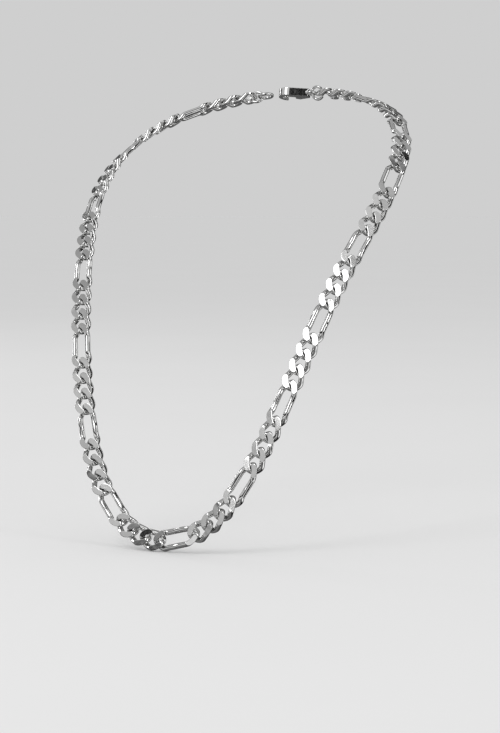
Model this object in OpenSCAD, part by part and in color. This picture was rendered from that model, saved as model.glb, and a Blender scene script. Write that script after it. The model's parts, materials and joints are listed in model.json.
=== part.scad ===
// Flat-ground Figaro chain necklace with a lobster clasp, in the shape it takes when worn.
// One long link follows every three short ones. The wearer faces -Y, and the origin is at the
// middle of the neck that the chain lies around, at the height of the tops of the shoulders.

/* [Chain] */
// Width across the chain
chain_w = 7; // [6.9:0.1:7.2]
// Diameter of the wire that the links are bent from
wire_d = 1.9; // [1.8:0.05:1.95]
// Thickness left after the front and back of the chain are ground flat
flat_t = 2.6; // [2.4:0.1:3.0]
// Pitch of a short link
short_pitch = 5.7; // [5.7:0.1:5.9]
// Pitch of a long link
long_pitch = 12.9; // [12.5:0.1:13.0]
// Turn of a link's two ends out of the flat of the chain, in degrees
end_turn = 50; // [48:1:52]

/* [Clasp] */
// Wire of the two jump rings
jump_wire = 1.0; // [0.9:0.05:1.0]
// Pitch of a jump ring
jump_pitch = 3.5; // [3.4:0.05:3.6]
// Wire of the ring that the clasp hooks into
catch_wire = 1.2; // [1.0:0.05:1.2]
// Pitch of the ring that the clasp hooks into
catch_pitch = 3.5; // [3.3:0.05:3.6]
// Thickness of the clasp
clasp_t = 3.0; // [2.8:0.1:3.2]

/* [Wear] */
// How far the chain has slid round the neck from the middle of the front
slide_round = 6; // [5:0.5:7]

/* [Hidden] */
$fn = 64;
// Play left between two pieces that hang in each other
play = 0.2;
// How far the collar at a seam between two stretches of wire stands proud, and its length
seam = 0.015;
seam_l = 0.08;
short_count = 3;
patterns = 7;
// Trios from this link on lie behind the neck, and each is one node
grouped_from = 21;
links_a_side = (short_count + 1) * patterns + short_count;
// The clasp, in its own frame: x from its eye to its nose. The hook is a ring with a mouth
// between two angles, that the lever closes
hook_x = 9.6;
hook_out_r = 4.0;
hook_in_r = 2.4;
mouth = [-62, -140];
eye_wire = 1.1;
eye_pitch = 2.06;
// The slot that the lever works in runs back from the hook, up to slot_top
slot_x = 2.9;
slot_top = 0.9;
slot_t = 1.3;
// The lever's thickness, the thicker hub round its pin, and the pin
lever_t = 1.0;
hub_t = 1.1;
hub_r = 1.1;
pivot = [5.0, -0.9];
pin_r = 0.45;
pin_fit = 0.05;
spring_w = 0.9;

// Where the chain runs: control points of a smooth closed curve, from the front of the chest
// over the wearer's left shoulder to the nape. The other half mirrors it.
RUN = [
    [0, -71, -144], [18, -69, -137.5], [30, -64, -118.5], [37.5, -57, -97.5], [43, -50, -79],
    [48, -41, -60.5], [53, -30, -43.5], [57.5, -16, -27], [56.5, 1, -11.5], [48, 18, 0],
    [33.5, 30, 7], [17, 37.5, 10.5], [0, 40, 11.5]
];
// A point deep in the chest that the flat side of every link faces away from
CHEST = [0, 0, -160];
// How much of its sideways place a flat side faces, by height: the chest is nearly flat
// across, and the shoulders are round
ROUNDNESS = [[-141, 0.2], [-60, 0.5], [0, 1.2]];
half_run = len(RUN) - 1;
// About how far apart the control points lie, for a first guess of u
point_gap = 20;

function unit(v) = v / norm(v);
function lap(i) = i - 2 * half_run * floor((i + half_run) / (2 * half_run));
function control(i) =
    let (k = lap(i), p = RUN[abs(k)])
    k < 0 ? [-p[0], p[1], p[2]] : p;
// The point at u on the uniform cubic B-spline through the control points
function run_at(u) =
    let (i = floor(u), f = u - i)
    (pow(1 - f, 3) * control(i - 1)
        + (3 * pow(f, 3) - 6 * f * f + 4) * control(i)
        + (-3 * pow(f, 3) + 3 * f * f + 3 * f + 1) * control(i + 1)
        + pow(f, 3) * control(i + 2)) / 6;
// The u that lies a straight distance away from the point from, found by Newton's steps
function reach(u, from, distance, way, tries = 9) =
    tries == 0 ? u :
    let (
        nudge = 0.001,
        p = run_at(u),
        speed = norm(run_at(u + nudge) - p) / nudge
    )
    reach(u + way * (distance - norm(p - from)) / speed, from, distance, way, tries - 1);
// Every joint's u, stepping along the run by a list of pitches
function walk(u, pitches, way, i = 0) =
    i == len(pitches) ? [u] :
    concat([u], walk(reach(u + way * pitches[i] / point_gap, run_at(u), pitches[i], way),
        pitches, way, i + 1));

is_long = function (k) k % (short_count + 1) == 0;
link_pitch = function (k) is_long(k) ? long_pitch : short_pitch;
side_pitches = [for (k = [1:links_a_side]) link_pitch(k)];
clasp_reach = hook_x + hook_out_r;
front_u = reach(slide_round / point_gap, run_at(0), slide_round + long_pitch / 2, 1);
left_walk = walk(front_u, concat(side_pitches, [jump_pitch, clasp_reach]), 1);
right_walk = walk(reach(front_u - long_pitch / point_gap, run_at(front_u), long_pitch, -1),
    concat(side_pitches, [jump_pitch, catch_pitch]), -1);
LEFT = [for (u = left_walk) run_at(u)];
RIGHT = [for (u = right_walk) run_at(u)];
// The two joints of piece k of a side: 1 is the link next to the front link
function ends(side, k) = [side[k - 1], side[k]];
front_ends = [RIGHT[0], LEFT[0]];

// The turn and place of a piece that spans two joints: its x runs from joint to joint and
// its z is the outward flat side
function seat(pair, at) =
    let (
        x = unit(pair[1] - pair[0]),
        out = [at[0] * lookup(at[2], ROUNDNESS), at[1], at[2]] - CHEST,
        z = unit(out - (out * x) * x),
        y = cross(z, x)
    )
    [
        [x[0], y[0], z[0], at[0]],
        [x[1], y[1], z[1], at[1]],
        [x[2], y[2], z[2], at[2]],
        [0, 0, 0, 1]
    ];
function middle(pair) = (pair[0] + pair[1]) / 2;

function two(k) = k < 10 ? str("0", k) : str(k);
function lone(k) = is_long(k) || k < grouped_from;
function starts_group(k) = !lone(k) && is_long(k - 1);
function link_name(side, k) =
    lone(k) ? str(side, is_long(k) ? "_long_" : "_short_", two(k)) :
    str(side, "_shorts_", two(k), "_to_", two(k + short_count - 1));
LINK_NODES = [
    for (side = ["left", "right"]) for (k = [1:links_a_side])
        if (lone(k) || starts_group(k)) link_name(side, k)
];
CLASP_NODES = [
    "clasp_jump_ring", "clasp_body", "clasp_lever", "clasp_lever_pin", "clasp_spring",
    "end_jump_ring", "catch_ring"
];

// A seam between two stretches of wire, along y
module seam_collar() {
    rotate([90, 0, 0]) cylinder(d = wire_d + 2 * seam, h = seam_l, center = true);
}

// One link, lying along x with its flat side up. At each quarter the wire arcs up or down out
// of the flat in a tilted plane, so that the next link passes through, and comes back
// sloping along the side. A short link's side is that slope from end to end. A long link's
// side bends level and runs straight. Both faces are ground flat.
module link(pitch) {
    half_l = (pitch + wire_d + play) / 2;
    half_w = (chain_w - wire_d) / 2;
    slope_x = (pitch - short_pitch) / 2;
    tip = [half_l, 0, 0];
    corner = [half_l, half_w, -half_w * tan(end_turn)];
    leave = [0, cos(end_turn), -sin(end_turn)];
    arrive = unit([slope_x, half_w, 0] - corner);
    bend = acos(leave * arrive);
    tangent_l = half_w / cos(end_turn);
    bend_r = tangent_l / tan(bend / 2);
    inward = unit(arrive - (arrive * leave) * leave);
    centre = tip + bend_r * inward;
    axis = cross(-inward, leave);
    arc_seat = [
        [-inward[0], leave[0], axis[0], centre[0]],
        [-inward[1], leave[1], axis[1], centre[1]],
        [-inward[2], leave[2], axis[2], centre[2]],
        [0, 0, 0, 1]
    ];
    side = corner + tangent_l * arrive;
    slope = asin(arrive[2]);
    level_r = -side[2] / (1 - cos(slope));
    level_x = side[0] - level_r * sin(slope);
    level_seat = [
        [0, 1, 0, level_x],
        [0, 0, 1, half_w],
        [1, 0, 0, -level_r],
        [0, 0, 0, 1]
    ];
    intersection() {
        union() {
            for (turn = [[0, 0, 0], [180, 0, 0], [0, 180, 0], [0, 0, 180]]) rotate(turn) {
                multmatrix(arc_seat) {
                    rotate_extrude(angle = bend) translate([bend_r, 0]) circle(d = wire_d);
                    rotate([0, 0, bend]) translate([bend_r, 0, 0]) seam_collar();
                    if (turn[0] == 0 && turn[1] == 0) translate([bend_r, 0, 0]) seam_collar();
                }
                if (slope_x > 0) multmatrix(level_seat) {
                    rotate_extrude(angle = slope) translate([level_r, 0]) circle(d = wire_d);
                    translate([level_r, 0, 0]) seam_collar();
                }
            }
            for (turn = [0, 180]) rotate([turn, 0, 0]) translate([0, half_w, 0])
                if (slope_x > 0)
                    rotate([0, 90, 0]) cylinder(d = wire_d, h = 2 * level_x, center = true);
                else
                    rotate([0, 90 + slope, 0])
                        cylinder(d = wire_d, h = 2 * norm([side[0], side[2]]), center = true);
        }
        cube([2 * pitch + 4 * wire_d, 2 * chain_w, flat_t], center = true);
    }
}

module front_link() {
    color("silver")
        multmatrix(seat(front_ends, middle(front_ends))) link(long_pitch);
}

// Link k of a side, counted from the front link
module side_link(side, k) {
    pair = ends(side, k);
    color(is_long(k) ? "silver" : "lightgray")
        multmatrix(seat(pair, middle(pair))) link(link_pitch(k));
}

// A round ring along x that lies flat, with its inside ends at the two joints
module ring(pitch, wire) {
    rotate_extrude()
        translate([(pitch + wire + play) / 2, 0]) circle(d = wire);
}

// A jump ring stands on edge, turned halfway towards the tilt of the link's end
module jump_ring(side) {
    pair = ends(side, links_a_side + 1);
    color("gainsboro")
        multmatrix(seat(pair, middle(pair)))
            rotate([90 - end_turn / 2, 0, 0]) ring(jump_pitch, jump_wire);
}

module catch_ring() {
    pair = ends(RIGHT, links_a_side + 2);
    color("gainsboro")
        multmatrix(seat(pair, middle(pair))) ring(catch_pitch, catch_wire);
}

// The clasp's own frame: x from its eye to its nose, z through its flat side
module clasp_seat() {
    pair = ends(LEFT, links_a_side + 2);
    multmatrix(seat(pair, pair[0])) children();
}

function spoke(r, angle) = r * [cos(angle), sin(angle)];

module clasp_outline() {
    past = hook_out_r + wire_d;
    difference() {
        union() {
            translate([hook_x, 0]) circle(r = hook_out_r);
            polygon([[1.7, -1.3], [1.7, 1.3], [8.4, 3.82], [hook_x, 0], [6.9, -3.0]]);
        }
        translate([hook_x, 0]) circle(r = hook_in_r);
        translate([hook_x, 0])
            polygon([
                [0, 0],
                spoke(past, mouth[0]),
                spoke(past / cos((mouth[0] - mouth[1]) / 2), (mouth[0] + mouth[1]) / 2),
                spoke(past, mouth[1])
            ]);
        translate(pivot) circle(r = pin_r);
    }
}

module clasp_body() {
    color("silver") clasp_seat() {
        difference() {
            union() {
                linear_extrude(clasp_t, center = true) clasp_outline();
                translate([(eye_pitch - play) / 2, 0, 0]) ring(eye_pitch - play, eye_wire);
            }
            translate([slot_x, -2 * hook_out_r, -slot_t / 2])
                cube([hook_x - slot_x, 2 * hook_out_r + slot_top, slot_t]);
        }
    }
}

module clasp_lever() {
    color("gainsboro") clasp_seat()
        difference() {
            union() {
                linear_extrude(lever_t, center = true)
                    polygon([
                        [5.2, 0.1], [7.4, -0.9], [10.4, -1.2], [10.8, -1.85], [10.1, -2.4],
                        [8.6, -3.0], [7.0, -3.1], [5.4, -1.9], [4.1, -3.1], [3.1, -3.1],
                        [3.3, -1.6], [4.6, -0.2]
                    ]);
                translate(pivot) cylinder(r = hub_r, h = hub_t, center = true);
            }
            translate(pivot) cylinder(r = pin_r + pin_fit, h = 2 * hub_t, center = true);
        }
}

module clasp_lever_pin() {
    color("darkgray") clasp_seat()
        translate(pivot) cylinder(r = pin_r, h = clasp_t, center = true);
}

// A leaf that presses the lever shut, held at the top of the slot
module clasp_spring() {
    color("dimgray") clasp_seat()
        linear_extrude(spring_w, center = true)
            polygon([
                [3.3, slot_top], [3.3, 0.72], [5.0, 0.55], [6.4, 0.36],
                [6.4, 0.54], [5.0, 0.74], [4.5, slot_top]
            ]);
}

front_link();
for (k = [1:links_a_side]) {
    group = is_long(k) ? k : k - (k - 1) % (short_count + 1);
    named = lone(k) ? k : group;
    side_link(LEFT, k);
    side_link(RIGHT, k);
}
jump_ring(LEFT);  // clasp_jump_ring
clasp_body();
clasp_lever();
clasp_lever_pin();
clasp_spring();
jump_ring(RIGHT);  // end_jump_ring
catch_ring();
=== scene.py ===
"""Looks for the flat-ground Figaro chain necklace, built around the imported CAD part."""

import json
import math

import bpy
import numpy as np
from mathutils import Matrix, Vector


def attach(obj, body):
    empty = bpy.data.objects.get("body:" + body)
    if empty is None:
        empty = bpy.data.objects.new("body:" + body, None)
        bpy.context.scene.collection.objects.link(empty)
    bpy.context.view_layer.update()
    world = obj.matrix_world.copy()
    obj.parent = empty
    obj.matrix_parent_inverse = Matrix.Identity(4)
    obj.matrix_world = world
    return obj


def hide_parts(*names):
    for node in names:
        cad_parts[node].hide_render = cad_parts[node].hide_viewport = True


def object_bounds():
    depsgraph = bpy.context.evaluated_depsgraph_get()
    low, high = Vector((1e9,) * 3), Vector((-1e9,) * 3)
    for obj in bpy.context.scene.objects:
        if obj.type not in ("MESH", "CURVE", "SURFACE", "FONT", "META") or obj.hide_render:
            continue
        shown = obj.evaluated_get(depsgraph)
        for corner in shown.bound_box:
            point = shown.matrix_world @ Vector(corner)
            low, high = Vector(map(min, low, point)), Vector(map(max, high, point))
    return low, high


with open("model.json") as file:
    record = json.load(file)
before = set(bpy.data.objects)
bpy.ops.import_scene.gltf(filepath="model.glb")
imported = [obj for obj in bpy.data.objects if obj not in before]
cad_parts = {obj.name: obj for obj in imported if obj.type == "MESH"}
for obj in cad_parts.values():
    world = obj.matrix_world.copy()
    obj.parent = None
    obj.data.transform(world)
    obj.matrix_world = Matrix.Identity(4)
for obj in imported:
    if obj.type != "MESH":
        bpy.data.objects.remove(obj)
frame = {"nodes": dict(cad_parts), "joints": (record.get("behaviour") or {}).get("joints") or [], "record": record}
cad_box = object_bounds()

# ---------------------------------------------------------------- sizes, in metres
MM = 0.001
# The same sizes as in the CAD
WIRE = 1.9 * MM
CHAIN_W = 7.0 * MM
FLAT_T = 2.6 * MM
PLAY = 0.2 * MM
SHORT_PITCH = 5.7 * MM
LONG_PITCH = 12.9 * MM
JUMP_WIRE = 1.0 * MM
CATCH_WIRE = 1.2 * MM
END_TURN = math.radians(50)
# Radius of the soft rim where a ground face meets the round wire
RIM = 0.028 * MM
# Least half-angle of a ground face in the wire's round section, kept where nothing is ground off
STRIP = 0.15
# Angle between the section points beside the rim
RIM_STEP = 0.055
# How finely a link's wire is cut into rings of points, and each ring into points
ARC_STEPS = 22
LEVEL_STEPS = 6
LEAST_RAIL_STEPS = 6
RAIL_STEP = 0.35 * MM
FACE_COLUMNS = 8
SIDE_COLUMNS = 10
# The same for the round rings and the pin
RING_STEPS = 160
RING_COLUMNS = 28
PIN_COLUMNS = 32
# Half-width of the groove where a ring's wire was closed, and its depth as a share of the wire's
# radius
GROOVE = 0.06 * MM
JUMP_GROOVE = 0.10
CATCH_GROOVE = 0.04
# How each CAD piece of the clasp is softened: the size of the voxels it is remade in, and how many
# passes of smoothing follow
BODY_SOFTNESS = (0.07 * MM, 24)
LEVER_SOFTNESS = (0.05 * MM, 12)
SPRING_SOFTNESS = (0.03 * MM, 2)
WELD_REACH = 0.002 * MM
# How quickly the tarnish and painted shade fade away from a neighbour's wire, how far off a
# neighbour can be, and how many points are compared at once
TARNISH_AND_SHADE_REACH = 0.45 * MM
NEIGHBOUR_REACH = 1.05 * LONG_PITCH
CHUNK = 4000

# No two faces are ground quite alike: the typical slope of one away from the flat, and the seed
# the slopes are drawn from
LEAN = 0.035
SEED = 3626
# The slope of the front link's face towards the wearer's left, which catches the key light
FRONT_LEAN = (-0.17, -0.215)
# How quickly the slope of one end gives way to the slope of the other, along a link
LEAN_BLEND = 0.4 * MM


def unit(v):
    """The direction of a vector, with length 1."""
    v = np.asarray(v, float)
    return v / np.linalg.norm(v)


# ---------------------------------------------------------------- reading the frame
def node_arrays(name):
    """Vertex places and triangles of a CAD node, vertices at one place welded together."""
    mesh = frame["nodes"][name].data
    co = np.zeros(len(mesh.vertices) * 3)
    mesh.vertices.foreach_get("co", co)
    co = co.reshape(-1, 3)
    mesh.calc_loop_triangles()
    tri = np.zeros(len(mesh.loop_triangles) * 3, np.int64)
    mesh.loop_triangles.foreach_get("vertices", tri)
    welded, index = np.unique(np.round(co, 7), axis=0, return_inverse=True)
    return welded, index.reshape(-1)[tri].reshape(-1, 3)


def islands(count, tri):
    """A label for each vertex, the same all over one connected solid."""
    label = np.arange(count)
    a = tri[:, [0, 1, 2]].reshape(-1)
    b = tri[:, [1, 2, 0]].reshape(-1)
    while True:
        low = np.minimum(label[a], label[b])
        new = label.copy()
        np.minimum.at(new, a, low)
        np.minimum.at(new, b, low)
        new = new[new]
        if np.array_equal(new, label):
            return label
        label = new


def solid_frame(co, tri):
    """Centre and axes of a solid, from its surface: x along it, z through it and outward."""
    p, q, r = co[tri[:, 0]], co[tri[:, 1]], co[tri[:, 2]]
    area = np.linalg.norm(np.cross(q - p, r - p), axis=1) / 2
    s = p + q + r
    centre = (area[:, None] * s).sum(0) / 3 / area.sum()
    p, q, r = p - centre, q - centre, r - centre
    s = p + q + r
    spread = sum(np.einsum("n,ni,nj->ij", area / 12, v, v) for v in (p, q, r, s))
    axes = np.linalg.eigh(spread)[1]
    x, z = axes[:, 2], axes[:, 0]
    outward = centre - np.array([0, 0, cad_box[0][2]])
    if z @ outward < 0:
        z = -z
    if x[np.abs(x).argmax()] < 0:
        x = -x
    return centre, np.stack([x, np.cross(z, x), z], 1)


def link_frames(name):
    """The centre and axes of each link in a node, in order of their least x."""
    co, tri = node_arrays(name)
    label = islands(len(co), tri)
    return [solid_frame(co, tri[label[tri[:, 0]] == one]) for one in np.unique(label)]


# ---------------------------------------------------------------- the link
def half_loop(pitch):
    """Points and directions along one side of a link's wire, from its +x tip to its -x tip."""
    half_l = (pitch + WIRE + PLAY) / 2
    half_w = (CHAIN_W - WIRE) / 2
    # How far from the middle the end's sloping wire comes to mid-height: 0 on a short link. A long
    # link goes on from there in a level arc and a straight rail.
    slope_x = (pitch - SHORT_PITCH) / 2
    tip = np.array([half_l, 0, 0])
    corner = np.array([half_l, half_w, -half_w * math.tan(END_TURN)])
    leave = np.array([0, math.cos(END_TURN), -math.sin(END_TURN)])
    arrive = unit(np.array([slope_x, half_w, 0]) - corner)
    bend = math.acos(leave @ arrive)
    radius = half_w / math.cos(END_TURN) / math.tan(bend / 2)
    inward = unit(arrive - (arrive @ leave) * leave)
    centre = tip + radius * inward
    turn = np.linspace(0, bend, ARC_STEPS + 1)[:, None]
    points = centre - radius * np.cos(turn) * inward + radius * np.sin(turn) * leave
    ways = np.sin(turn) * inward + np.cos(turn) * leave
    if slope_x > 0:
        slope = math.asin(arrive[2])
        level_r = -points[-1][2] / (1 - math.cos(slope))
        level_x = points[-1][0] - level_r * math.sin(slope)
        q = np.linspace(slope, 0, LEVEL_STEPS + 1)[1:]
        over = np.stack([np.sin(q), 0 * q, np.cos(q)], 1)
        points = np.concatenate([points, np.array([level_x, half_w, -level_r]) + level_r * over])
        ways = np.concatenate([ways, np.stack([-np.cos(q), 0 * q, np.sin(q)], 1)])
    flip = np.array([-1, 1, -1])
    start, end = points[-1], points[-1] * flip
    steps = max(LEAST_RAIL_STEPS, round(float(np.linalg.norm(end - start)) / RAIL_STEP))
    share = np.linspace(0, 1, steps + 1)[1:-1, None]
    rail = start + share * (end - start)
    rail_way = np.repeat(unit(end - start)[None], len(rail), 0)
    return (
        np.concatenate([points, rail, (points * flip)[::-1]]),
        np.concatenate([ways, rail_way, -(ways * flip)[::-1]]),
    )


def centre_loop(pitch):
    """Points and directions all the way round a link's wire."""
    points, ways = half_loop(pitch)
    turn = np.array([-1, -1, 1])
    return (
        np.concatenate([points[:-1], (points * turn)[:-1]]),
        np.concatenate([ways[:-1], (ways * turn)[:-1]]),
    )


def ground(height, limit):
    """Height after the face is ground to the limit, with a soft rim."""
    return np.minimum(height, limit) - RIM * np.log1p(np.exp(-np.abs(height - limit) / RIM))


def link_points(pitch):
    """The link's skin as rings of points round its wire, and how deep each point was ground."""
    centre, way = centre_loop(pitch)
    up = np.array([0, 0, 1.0]) - way[:, 2:] * way
    rise = np.linalg.norm(up, axis=1)
    up = up / rise[:, None]
    across = np.cross(way, up)
    radius = WIRE / 2
    limit = FLAT_T / 2

    def face_angle(above):
        """Half-angle of the face that is ground off the section, this far above its middle."""
        share = np.clip(above / (radius * rise), -1, 1)
        return np.maximum(np.arccos(share), STRIP)

    top = face_angle(limit - centre[:, 2])
    bottom = face_angle(limit + centre[:, 2])
    face_shares = np.linspace(0, 1, FACE_COLUMNS // 2 + 1)
    side_shares = np.linspace(0, 1, SIDE_COLUMNS + 1)
    low = top + 2 * RIM_STEP
    high = math.pi - bottom - 2 * RIM_STEP
    # Half a section, from the middle of the top face down to the middle of the bottom face
    columns = [c * (top - 2 * RIM_STEP) for c in face_shares]
    columns += [top + k * RIM_STEP for k in (-1, 0, 1)]
    columns += [low + c * (high - low) for c in side_shares]
    columns += [math.pi - bottom + k * RIM_STEP for k in (-1, 0, 1)]
    columns += [math.pi - c * (bottom - 2 * RIM_STEP) for c in face_shares[::-1]]
    half = np.stack(columns, 1)
    angle = np.concatenate([half, -half[:, -2:0:-1]], 1)
    skin = (
        centre[:, None]
        + radius * np.cos(angle)[..., None] * up[:, None]
        + radius * np.sin(angle)[..., None] * across[:, None]
    )
    height = skin[..., 2].copy()
    skin[..., 2] = -ground(-ground(height, limit), limit)
    return skin, np.abs(height) - np.abs(skin[..., 2])


def ring_faces(rings, columns):
    """Quads between neighbouring rings of points, closed both ways round."""
    i = np.arange(rings)[:, None]
    j = np.arange(columns)[None]
    i2 = (i + 1) % rings
    j2 = (j + 1) % columns
    quads = np.stack(
        [i * columns + j, i2 * columns + j, i2 * columns + j2, i * columns + j2], -1
    )
    return quads.reshape(-1, 4)


def mesh_object(name, points, faces, smooth=True):
    """A new object in the scene, from an array of points and a list of faces."""
    mesh = bpy.data.meshes.new(name)
    mesh.from_pydata(points.tolist(), [], faces)
    if smooth:
        mesh.polygons.foreach_set("use_smooth", [True] * len(mesh.polygons))
    mesh.update()
    obj = bpy.data.objects.new(name, mesh)
    bpy.context.scene.collection.objects.link(obj)
    return obj


def store(obj, name, kind, values):
    """Keeps values on the mesh's points for the material."""
    attribute = obj.data.attributes.new(name, kind, "POINT")
    attribute.data.foreach_set(
        "vector" if kind == "FLOAT_VECTOR" else "value", np.asarray(values, np.float32).reshape(-1)
    )


def nearness(points, others):
    """How near the skin lies to the wires of the neighbours: 1 where they touch."""
    gap = np.full(len(points), 1.0)
    for wire in others:
        for first in range(0, len(points), CHUNK):
            part = slice(first, first + CHUNK)
            off = np.linalg.norm(points[part, None] - wire[None], axis=2).min(1)
            gap[part] = np.minimum(gap[part], off)
    return np.exp(-np.clip(gap - WIRE / 2, 0, None) / TARNISH_AND_SHADE_REACH)


def lean_height(points, slopes):
    """A height over the link whose slope leans the ground faces of each of its two ends."""
    share = 1 / (1 + np.exp(-points[:, 0] / LEAN_BLEND))
    high = points[:, :2] @ slopes[0]
    low = points[:, :2] @ slopes[1]
    return share * high + (1 - share) * low


def body_of_node(name):
    """The moving body that carries a CAD node."""
    for body, nodes in frame["record"]["behaviour"]["bodies"].items():
        if name in nodes:
            return body
    return name


def all_links():
    """Every link, always in the same order: its node, pitch, centre and axes."""
    links = []
    for name in sorted(frame["nodes"]):
        if "short" in name or "long" in name or name == "front_link":
            pitch = SHORT_PITCH if "short" in name else LONG_PITCH
            links += [(name, pitch, centre, axes) for centre, axes in link_frames(name)]
    return links


def build_links(material):
    links = all_links()
    shapes = {pitch: link_points(pitch) for pitch in (SHORT_PITCH, LONG_PITCH)}
    wires = {pitch: centre_loop(pitch)[0] for pitch in shapes}
    placed = [wires[pitch] @ axes.T + centre for _, pitch, centre, axes in links]
    middles = np.array([centre for _, _, centre, _ in links])
    by_node = {}
    for i, (name, pitch, centre, axes) in enumerate(links):
        rings, cut = shapes[pitch]
        skin = rings.reshape(-1, 3)
        points = skin @ axes.T + centre
        away = np.linalg.norm(middles - centre, axis=1)
        near = [placed[k] for k in np.flatnonzero((away > 0) & (away < NEIGHBOUR_REACH))]
        slopes = np.random.default_rng(SEED + i).normal(0, LEAN, (2, 2))
        if name == "front_link":
            slopes[0] = FRONT_LEAN
        link = {
            "points": points,
            "faces": ring_faces(*rings.shape[:2]),
            "along": skin,
            "ground": cut.reshape(-1) / MM,
            # How near the neighbours lie, which sets the tarnish and painted shade in the recesses
            "recess": nearness(points, near),
            "lift": lean_height(skin, slopes),
        }
        by_node.setdefault(name, []).append(link)
    for name, solids in by_node.items():
        starts = np.cumsum([0] + [len(link["points"]) for link in solids])
        faces = np.concatenate([link["faces"] + start for link, start in zip(solids, starts)])
        whole = {key: np.concatenate([link[key] for link in solids]) for key in solids[0]}
        obj = mesh_object("silver_" + name, whole["points"], faces.tolist())
        store(obj, "along", "FLOAT_VECTOR", whole["along"])
        store(obj, "ground", "FLOAT", whole["ground"])
        store(obj, "recess", "FLOAT", whole["recess"])
        store(obj, "lift", "FLOAT", whole["lift"])
        obj.data.materials.append(material)
        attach(obj, body_of_node(name))
        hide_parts(name)


# ---------------------------------------------------------------- the clasp and its rings
def build_ring(name, wire, groove, material):
    """A round ring in the place of a CAD node, with a fine groove where its wire was closed."""
    co, tri = node_arrays(name)
    centre, axes = solid_frame(co, tri)
    # Radius of the ring's centre line
    out = np.linalg.norm((co - centre) @ axes[:, :2], axis=1).max() - wire / 2
    turn = np.linspace(0, 2 * math.pi, RING_STEPS, endpoint=False)[:, None]
    section = np.linspace(0, 2 * math.pi, RING_COLUMNS, endpoint=False)[None]
    off = np.abs((turn + math.pi) % (2 * math.pi) - math.pi) * out
    radius = wire / 2 * (1 - groove * np.exp(-((off / GROOVE) ** 2)))
    reach = out + radius * np.cos(section)
    skin = np.stack(
        [reach * np.cos(turn), reach * np.sin(turn), radius * np.sin(section)], -1
    ).reshape(-1, 3)
    faces = ring_faces(RING_STEPS, RING_COLUMNS).tolist()
    obj = mesh_object("silver_" + name, skin @ axes.T + centre, faces)
    obj.data.materials.append(material)
    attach(obj, body_of_node(name))
    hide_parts(name)


def build_pin(name, material):
    """The rivet of the lever, with its two ends rounded over."""
    joint = next(j for j in frame["joints"] if j["name"] == "clasp_lever_hinge")
    co, tri = node_arrays(name)
    axis = unit(np.array(joint["axis"]))
    centre = (co.max(0) + co.min(0)) / 2
    height = (co - centre) @ axis
    half = np.abs(height).max()
    wide = np.linalg.norm((co - centre) - height[:, None] * axis, axis=1).max()
    aside = unit(np.cross(axis, [1.0, 0, 0]))
    third = np.cross(axis, aside)
    # One rounded end, from its middle outward: radius and drop as shares of the pin's own
    profile = [(0.0, 0.0), (0.4, 0.0), (0.75, 0.02), (0.93, 0.05), (1.0, 0.10)]
    rows = [(wide * r, -half + half * d) for r, d in profile]
    rows += [(r, -h) for r, h in rows[::-1]]
    turn = np.linspace(0, 2 * math.pi, PIN_COLUMNS, endpoint=False)
    circle = np.cos(turn)[:, None] * aside + np.sin(turn)[:, None] * third
    rings = [centre + h * axis + r * circle for r, h in rows[1:-1]]
    points = np.concatenate([np.concatenate(rings), [centre - half * axis, centre + half * axis]])
    i = np.arange(len(rings) - 1)[:, None] * PIN_COLUMNS
    j = np.arange(PIN_COLUMNS)[None]
    k = (j + 1) % PIN_COLUMNS
    faces = np.stack([i + j, i + k, i + PIN_COLUMNS + k, i + PIN_COLUMNS + j], -1)
    faces = faces.reshape(-1, 4).tolist()
    low = len(points) - 2
    high = len(points) - 1
    last = (len(rings) - 1) * PIN_COLUMNS
    faces += [[low, (c + 1) % PIN_COLUMNS, c] for c in range(PIN_COLUMNS)]
    faces += [[high, last + c, last + (c + 1) % PIN_COLUMNS] for c in range(PIN_COLUMNS)]
    obj = mesh_object("steel_" + name, points, faces)
    obj.data.materials.append(material)
    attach(obj, body_of_node(name))
    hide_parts(name)


def soften(name, softness, material):
    """Gives a CAD node the soft edges of a cast and tumbled piece, and its material."""
    voxel, passes = softness
    obj = frame["nodes"][name]
    weld = obj.modifiers.new("weld", "WELD")
    weld.merge_threshold = WELD_REACH
    remesh = obj.modifiers.new("remesh", "REMESH")
    remesh.mode = "VOXEL"
    remesh.voxel_size = voxel
    remesh.use_smooth_shade = True
    smooth = obj.modifiers.new("tumbled", "SMOOTH")
    smooth.factor = 0.5
    smooth.iterations = passes
    obj.data.materials.clear()
    obj.data.materials.append(material)


def build_clasp(silver, steel):
    soften("clasp_body", BODY_SOFTNESS, silver)
    soften("clasp_lever", LEVER_SOFTNESS, silver)
    soften("clasp_spring", SPRING_SOFTNESS, steel)
    build_pin("clasp_lever_pin", steel)
    build_ring("clasp_jump_ring", JUMP_WIRE, JUMP_GROOVE, silver)
    build_ring("end_jump_ring", JUMP_WIRE, JUMP_GROOVE, silver)
    build_ring("catch_ring", CATCH_WIRE, CATCH_GROOVE, silver)


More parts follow.
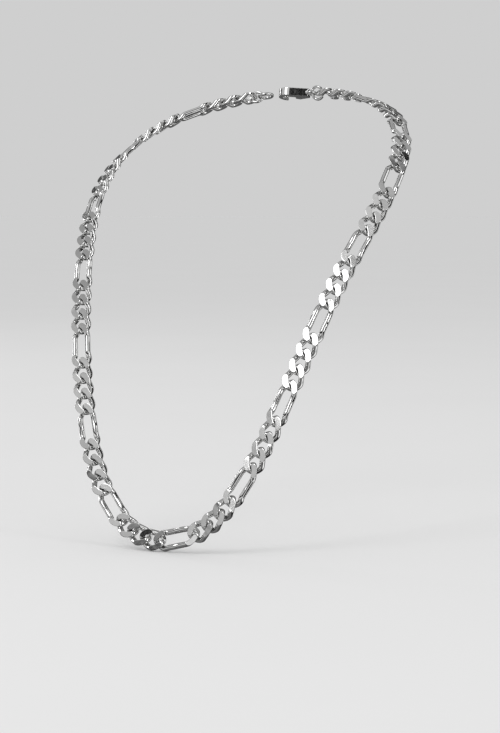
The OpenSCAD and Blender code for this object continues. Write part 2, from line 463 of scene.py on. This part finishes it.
# ---------------------------------------------------------------- materials
class Nodes:
    """Short ways to add and join the nodes of one material."""

    def __init__(self, tree):
        self.tree = tree

    def add(self, kind, inputs=None, **settings):
        """A new node, with values or sockets put on its inputs and its own settings made."""
        node = self.tree.nodes.new(kind)
        for key, value in settings.items():
            setattr(node, key, value)
        for key, value in (inputs or {}).items():
            self.put(node, key, value)
        return node

    def put(self, node, key, value):
        if isinstance(value, bpy.types.NodeSocket):
            self.tree.links.new(value, node.inputs[key])
        else:
            node.inputs[key].default_value = value

    def noise(self, vector, scale, detail=3.0, roughness=0.5):
        node = self.add(
            "ShaderNodeTexNoise",
            {"Vector": vector, "Scale": scale, "Detail": detail, "Roughness": roughness},
        )
        return node.outputs["Fac"]

    def range(self, value, low, high, to_low=0.0, to_high=1.0):
        """Carries low to high over to to_low to to_high, and holds it there beyond the ends."""
        node = self.add(
            "ShaderNodeMapRange",
            {"Value": value, "From Min": low, "From Max": high, "To Min": to_low, "To Max": to_high},
        )
        return node.outputs["Result"]

    def math(self, operation, a, b=0.0):
        node = self.add("ShaderNodeMath", {0: a, 1: b}, operation=operation)
        return node.outputs[0]

    def stretch(self, vector, scale, turn=(0, 0, 0)):
        """The places scaled along each axis and turned, for a pattern that runs one way."""
        node = self.add(
            "ShaderNodeMapping", {"Vector": vector, "Scale": scale, "Rotation": turn}
        )
        return node.outputs["Vector"]

    def attribute(self, name):
        """The node that reads what store() kept on the mesh."""
        return self.add("ShaderNodeAttribute", attribute_name=name)

    def mix(self, share, a, b):
        node = self.add("ShaderNodeMix", {0: share, 6: a, 7: b}, data_type="RGBA")
        return node.outputs[2]

    def bump(self, height, distance, strength=1.0, normal=None):
        node = self.add(
            "ShaderNodeBump", {"Height": height, "Distance": distance, "Strength": strength}
        )
        if normal is not None:
            self.put(node, "Normal", normal)
        return node.outputs["Normal"]


def grey(tone):
    return (tone, tone, tone, 1)


def new_material(name):
    """A new material, the short way to its nodes, and its shader."""
    material = bpy.data.materials.new(name)
    material.use_nodes = True
    tree = material.node_tree
    shader = tree.nodes["Principled BSDF"]
    return material, Nodes(tree), shader


def silver_material(name):
    """Polished silver: ground faces with fine parallel scratches, tarnish and painted shade where links touch."""
    material, n, shader = new_material(name)
    place = n.add("ShaderNodeTexCoord").outputs["Object"]
    along = n.attribute("along").outputs["Vector"]
    face = n.range(n.attribute("ground").outputs["Fac"], 0.02, 0.06)
    recess = n.attribute("recess").outputs["Fac"]
    lift = n.attribute("lift").outputs["Fac"]

    # Patterns: blotches, fine grain, the lines of the grinding and the rubbing of years
    cloud = n.noise(place, 420.0, 4.0)
    fine = n.noise(place, 2600.0, 3.0)
    grind = n.noise(n.stretch(along, (900.0, 9000.0, 900.0), (0, 0, 0.3)), 1.0, 2.0)
    rub = n.noise(n.stretch(place, (4200.0, 700.0, 2500.0), (0.4, 0.2, 0.9)), 1.0, 2.0)

    # Tarnish and painted shade in the recesses where the neighbours touch, but not on the ground faces
    tarnish_and_shade = n.math("MULTIPLY", n.range(recess, 0.15, 0.8), n.range(cloud, 0.3, 0.6, 0.6, 1.0))
    tarnish_and_shade = n.math("MULTIPLY", tarnish_and_shade, n.range(face, 0.0, 1.0, 1.0, 0.0))
    metal = n.mix(n.range(cloud, 0.35, 0.7), (0.93, 0.93, 0.925, 1), (0.88, 0.88, 0.875, 1))
    # The dark grey painted in the recesses is partly tarnish and partly painted shade between the links
    n.put(shader, "Base Color", n.mix(tarnish_and_shade, metal, (0.20, 0.198, 0.195, 1)))
    n.put(shader, "Metallic", 1.0)

    rough = n.math("ADD", n.range(fine, 0.3, 0.7, 0.035, 0.08), n.math("MULTIPLY", tarnish_and_shade, 0.22))
    rough = n.math("ADD", rough, n.math("MULTIPLY", face, n.range(grind, 0.3, 0.7, 0.02, 0.09)))
    n.put(shader, "Roughness", rough)

    # The lean of each ground face, then its scratches, then the slight waves of hand polishing
    scratches = n.math("ADD", n.math("MULTIPLY", face, grind), n.math("MULTIPLY", rub, 0.15))
    leaning = n.bump(lift, 1.0)
    worn = n.bump(scratches, 0.0000015, 1.0, leaning)
    n.put(shader, "Normal", n.bump(n.noise(place, 380.0, 1.0), 0.00002, 1.0, worn))
    return material


def steel_material(name):
    """Drawn steel: fine lines along the wire and a dull, slightly spotted surface."""
    material, n, shader = new_material(name)
    place = n.add("ShaderNodeTexCoord").outputs["Object"]
    lines = n.noise(n.stretch(place, (900.0, 6000.0, 6000.0)), 1.0, 3.0)
    spots = n.noise(place, 1800.0, 4.0)
    tone = n.mix(n.range(spots, 0.35, 0.65), (0.50, 0.50, 0.51, 1), (0.62, 0.62, 0.63, 1))
    n.put(shader, "Base Color", tone)
    n.put(shader, "Metallic", 1.0)
    n.put(shader, "Roughness", n.range(lines, 0.3, 0.7, 0.22, 0.38))
    n.put(shader, "Normal", n.bump(lines, 0.000002, 1.0))
    return material


def floor_material():
    """Matt pale paper, very slightly clouded."""
    material, n, shader = new_material("pale_floor")
    place = n.add("ShaderNodeTexCoord").outputs["Object"]
    cloud = n.noise(place, 9.0, 4.0)
    n.put(shader, "Base Color", n.mix(cloud, grey(0.79), grey(0.81)))
    n.put(shader, "Roughness", n.range(n.noise(place, 240.0), 0.3, 0.7, 0.5, 0.7))
    n.put(shader, "Specular IOR Level", 0.0)
    return material


# ---------------------------------------------------------------- stage, light and camera
# Half the side of the floor, which reaches past the horizon of every view
FLOOR_HALF = 30.0

# Softboxes: name, direction and distance from the necklace, width, height and glow
LIGHTS = [
    ("key", (-0.24, -0.64, 0.72), 1.3, 0.42, 0.80, 3.0),
    ("right_strip", (0.93, -0.25, 0.25), 1.3, 0.16, 0.9, 5.0),
    ("left_strip", (-0.95, 0.25, 0.2), 1.3, 0.14, 0.9, 5.0),
]

# What the silver reflects: at each height on the wearer's front side and behind, as places
# from straight down (0) to straight up (1) and tones
FRONT = [
    (0.0, 0.14), (0.28, 0.20), (0.40, 0.85), (0.47, 0.60), (0.50, 0.01), (0.63, 0.01),
    (0.66, 0.44), (0.74, 0.54), (0.80, 0.30), (0.90, 0.34), (0.975, 0.62), (1.0, 0.34),
]
BEHIND = [
    (0.0, 0.06), (0.34, 0.10), (0.46, 0.70), (0.52, 0.62), (0.58, 0.08), (0.72, 0.06),
    (0.84, 0.42), (1.0, 0.24),
]
# The wearer's left side of the room, from x = 0.25 to x = 1: dark, a bright window, dark
SIDE = [(0.0, 0.01), (0.38, 0.01), (0.46, 0.95), (0.62, 0.95), (0.70, 0.02), (1.0, 0.02)]
# The dome that lights the floor, and the same pale tone as the floor far off, for the camera
DOME = 0.78
BACKDROP = 0.624

# Where the camera stands: its angles round the necklace, its distance from the point it aims at,
# its lens in mm, and that point, first on the middle plane and then moved across the view
AZIMUTH = math.radians(26.71)
ELEVATION = math.radians(4.26)
DISTANCE = 0.7013
LENS = 103.3
AIM = Vector((0, -0.060, -0.080))
AIM_RIGHT = 0.02483
AIM_DOWN = 0.00426


def build_floor():
    low = cad_box[0][2]
    corners = np.array([[x, y, low] for x, y in ((-1, -1), (1, -1), (1, 1), (-1, 1))])
    corners[:, :2] *= FLOOR_HALF
    floor = mesh_object("floor", corners, [[0, 1, 2, 3]], smooth=False)
    floor.data.materials.append(floor_material())
    floor.visible_glossy = False


def soft_light(name, direction, distance, width, height, glow):
    """A softbox whose face shines with that radiance."""
    centre = Vector((cad_box[0] + cad_box[1]) / 2)
    data = bpy.data.lights.new(name, "AREA")
    data.shape = "RECTANGLE"
    data.size = width
    data.size_y = height
    data.energy = glow * math.pi * width * height
    light = bpy.data.objects.new(name, data)
    bpy.context.scene.collection.objects.link(light)
    light.location = centre + Vector(direction).normalized() * distance
    light.rotation_mode = "QUATERNION"
    light.rotation_quaternion = Vector(direction).to_track_quat("Z", "Y")
    light.visible_camera = False


def tone_ramp(n, share, stops):
    """Grey tones at places from 0 to 1, blended between them."""
    ramp = n.add("ShaderNodeValToRGB", {"Fac": share})
    elements = ramp.color_ramp.elements
    while len(elements) < len(stops):
        elements.new(0.5)
    for element, (place, tone) in zip(elements, stops):
        element.position = place
        element.color = grey(tone)
    return ramp.outputs["Color"]


def build_world():
    """A pale room for the camera and the floor, and bands of dark and light for the silver."""
    world = bpy.data.worlds.new("studio")
    bpy.context.scene.world = world
    world.use_nodes = True
    n = Nodes(world.node_tree)
    back = world.node_tree.nodes["Background"]
    way = n.add("ShaderNodeTexCoord").outputs["Generated"]
    axis = n.add("ShaderNodeSeparateXYZ", {"Vector": way})
    height = n.range(axis.outputs["Z"], -1.0, 1.0)
    behind = n.range(axis.outputs["Y"], -0.05, 0.30)
    room = n.mix(behind, tone_ramp(n, height, FRONT), tone_ramp(n, height, BEHIND))
    aside = n.range(axis.outputs["X"], 0.25, 1.0)
    room = n.mix(n.range(aside, 0.02, 0.08), room, tone_ramp(n, aside, SIDE))
    path = n.add("ShaderNodeLightPath").outputs
    seen = n.mix(path["Is Camera Ray"], grey(DOME), grey(BACKDROP))
    n.put(back, "Color", n.mix(path["Is Glossy Ray"], seen, room))
    n.put(back, "Strength", 1.0)


def build_camera():
    look = Vector((
        -math.sin(AZIMUTH) * math.cos(ELEVATION),
        math.cos(AZIMUTH) * math.cos(ELEVATION),
        -math.sin(ELEVATION),
    ))
    right = Vector((math.cos(AZIMUTH), math.sin(AZIMUTH), 0))
    up = right.cross(look)
    target = AIM + right * AIM_RIGHT - up * AIM_DOWN
    data = bpy.data.cameras.new("camera")
    data.sensor_width = 36
    data.lens = LENS
    data.clip_start = 0.01
    data.clip_end = 100
    camera = bpy.data.objects.new("camera", data)
    bpy.context.scene.collection.objects.link(camera)
    camera.location = target - look * DISTANCE
    camera.rotation_mode = "QUATERNION"
    camera.rotation_quaternion = look.to_track_quat("-Z", "Y")
    bpy.context.scene.camera = camera


bpy.context.scene.view_settings.view_transform = "Standard"
build_camera()
build_world()
for light in LIGHTS:
    soft_light(*light)
build_floor()
build_links(silver_material("link_silver"))
build_clasp(silver_material("clasp_silver"), steel_material("steel"))
